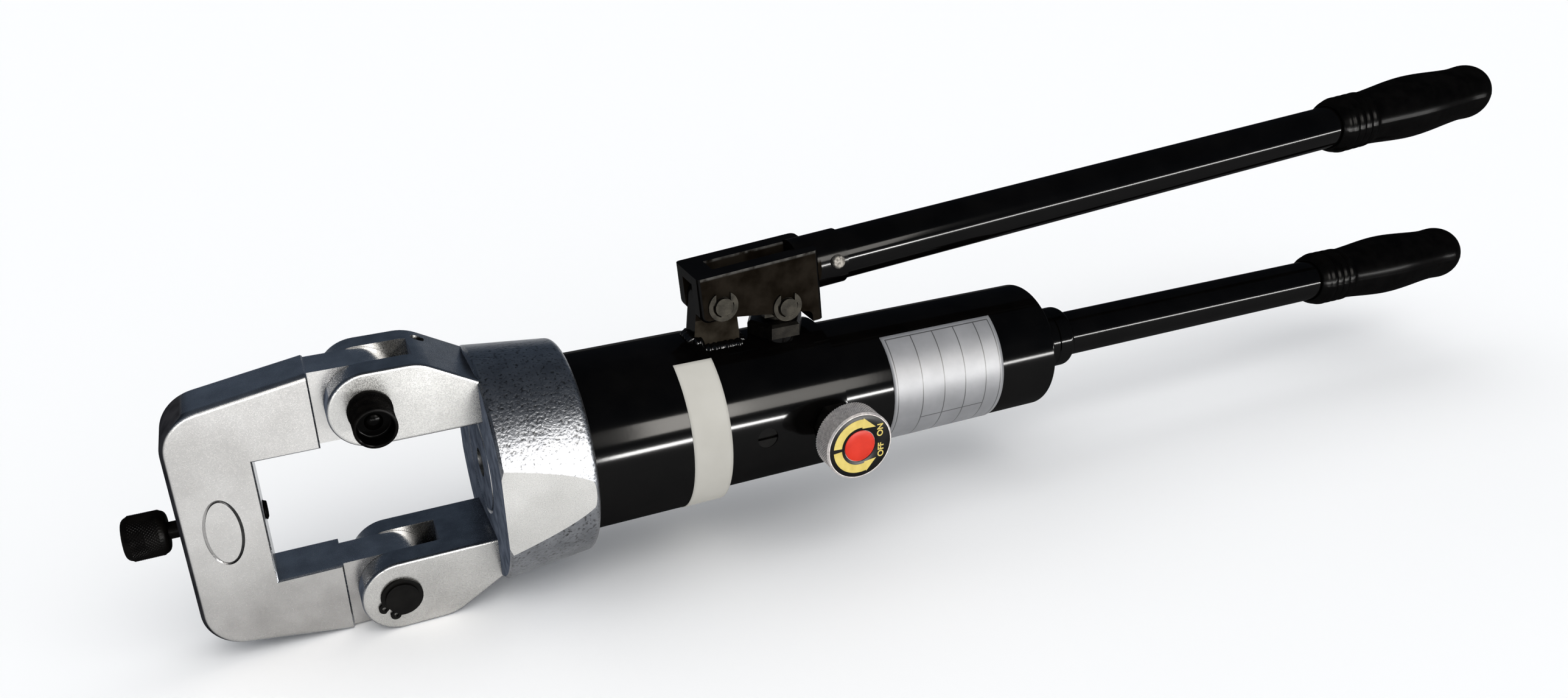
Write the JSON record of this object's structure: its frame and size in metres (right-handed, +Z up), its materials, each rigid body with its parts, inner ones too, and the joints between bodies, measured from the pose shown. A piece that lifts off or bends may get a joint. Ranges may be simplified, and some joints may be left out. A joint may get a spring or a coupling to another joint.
{
  "type": "hydraulic swaging tool",
  "caption": "Hand-pumped hydraulic swaging tool: latched yoke head round a die window, ram cylinder, pump body with release knob, oil reservoir, fixed handle and pump lever with rubber grips.",
  "frame": {"origin": "centre of the ram's face with the ram drawn back, at the mouth of its die socket", "axes": "+X along the ram's axis towards the handles, +Z up towards the pump lever, -Y towards the release knob"},
  "size_m": [0.7187, 0.1029, 0.1696],
  "materials": {
    "satin_steel": "satin nickel plate over forged and cast steel",
    "ground_steel": "ground bare steel",
    "spring_steel": "oiled spring wire",
    "ball_steel": "polished bearing steel",
    "strainer_brass": "fine brass mesh",
    "black_paint": "gloss black enamel on steel",
    "dark_phosphate": "oiled dark phosphate on steel",
    "black_oxide": "black oxide on steel",
    "knob_black": "black knurled knob with a coloured printed face",
    "grip_rubber": "matt black moulded rubber",
    "seal_rubber": "black nitrile"
  },
  "bodies": {
    "tool_body": {"yoke": "satin_steel", "clevis_collar": "satin_steel", "hinge_pin": "black_oxide", "hinge_circlips": "black_oxide", "arm_set_screw": "black_oxide", "front_cylinder": "black_paint", "ram_wiper": "seal_rubber", "return_spring": "spring_steel", "pump_body": "black_paint", "relief_plug": "black_oxide", "relief_ball": "ball_steel", "relief_spring": "spring_steel", "release_ball": "ball_steel", "release_gland": "black_oxide", "delivery_spring": "spring_steel", "delivery_retainer": "ground_steel", "suction_spring": "spring_steel", "suction_seat": "ground_steel", "suction_strainer": "strainer_brass", "gland_nut": "dark_phosphate", "plunger_packing": "seal_rubber", "lever_lug": "black_paint", "reservoir_tube": "black_paint", "reservoir_cap": "black_paint", "oil_bladder": "seal_rubber", "static_seals": "seal_rubber", "handle_nut": "black_paint", "handle_tube": "black_paint", "handle_grip": "grip_rubber"},
    "lever": {"lever_bracket": "dark_phosphate", "pivot_pin": "dark_phosphate", "plunger_pin": "dark_phosphate", "pin_clips": "dark_phosphate", "lever_tube": "black_paint", "lever_rivet": "ground_steel", "lever_grip": "grip_rubber"},
    "pump_plunger": {"plunger": "ground_steel"},
    "ram": {"ram": "ground_steel", "ram_seal": "seal_rubber"},
    "release_valve": {"release_knob": "knob_black", "release_spindle": "ground_steel"},
    "latch": {"latch_pin": "black_oxide", "latch_knob": "black_oxide"},
    "thumb_screw": {"die_screw": "black_oxide"},
    "delivery_valve": {"delivery_ball": "ball_steel"},
    "suction_valve": {"suction_ball": "ball_steel"}
  },
  "joints": [
    {"name": "lever_swing", "type": "hinge", "parent": "tool_body", "child": "lever", "pos_m": [0.105, 0, 0.0554], "axis": [0, -1, 0], "range_deg": [0, 28]},
    {"name": "plunger_stroke", "type": "slide", "parent": "tool_body", "child": "pump_plunger", "axis": [0, 0, 1], "range_m": [0, 0.0148]},
    {"name": "ram_stroke", "type": "slide", "parent": "tool_body", "child": "ram", "axis": [-1, 0, 0], "range_m": [0, 0.03], "stiffness_N_per_m": 2500, "springref_m": -0.04, "deforming": ["return_spring"]},
    {"name": "release_turn", "type": "hinge", "parent": "tool_body", "child": "release_valve", "pos_m": [0.1475, 0, 0], "axis": [0, -1, 0], "range_deg": [0, 180]},
    {"name": "latch_pull", "type": "slide", "parent": "tool_body", "child": "latch", "axis": [0, -1, 0], "range_m": [0, 0.028]},
    {"name": "thumb_screw_travel", "type": "slide", "parent": "tool_body", "child": "thumb_screw", "axis": [-1, 0, 0], "range_m": [-0.002, 0.008]},
    {"name": "delivery_lift", "type": "slide", "parent": "tool_body", "child": "delivery_valve", "axis": [-1, 0, 0], "range_m": [0, 0.001], "stiffness_N_per_m": 150, "springref_m": -0.004, "deforming": ["delivery_spring"]},
    {"name": "suction_lift", "type": "slide", "parent": "tool_body", "child": "suction_valve", "axis": [-1, 0, 0], "range_m": [0, 0.001], "stiffness_N_per_m": 150, "springref_m": -0.004, "deforming": ["suction_spring"]}
  ],
  "couplings": [
    {"joint": "plunger_stroke", "follows": "lever_swing", "m_per_rad": 0.02992}
  ]
}
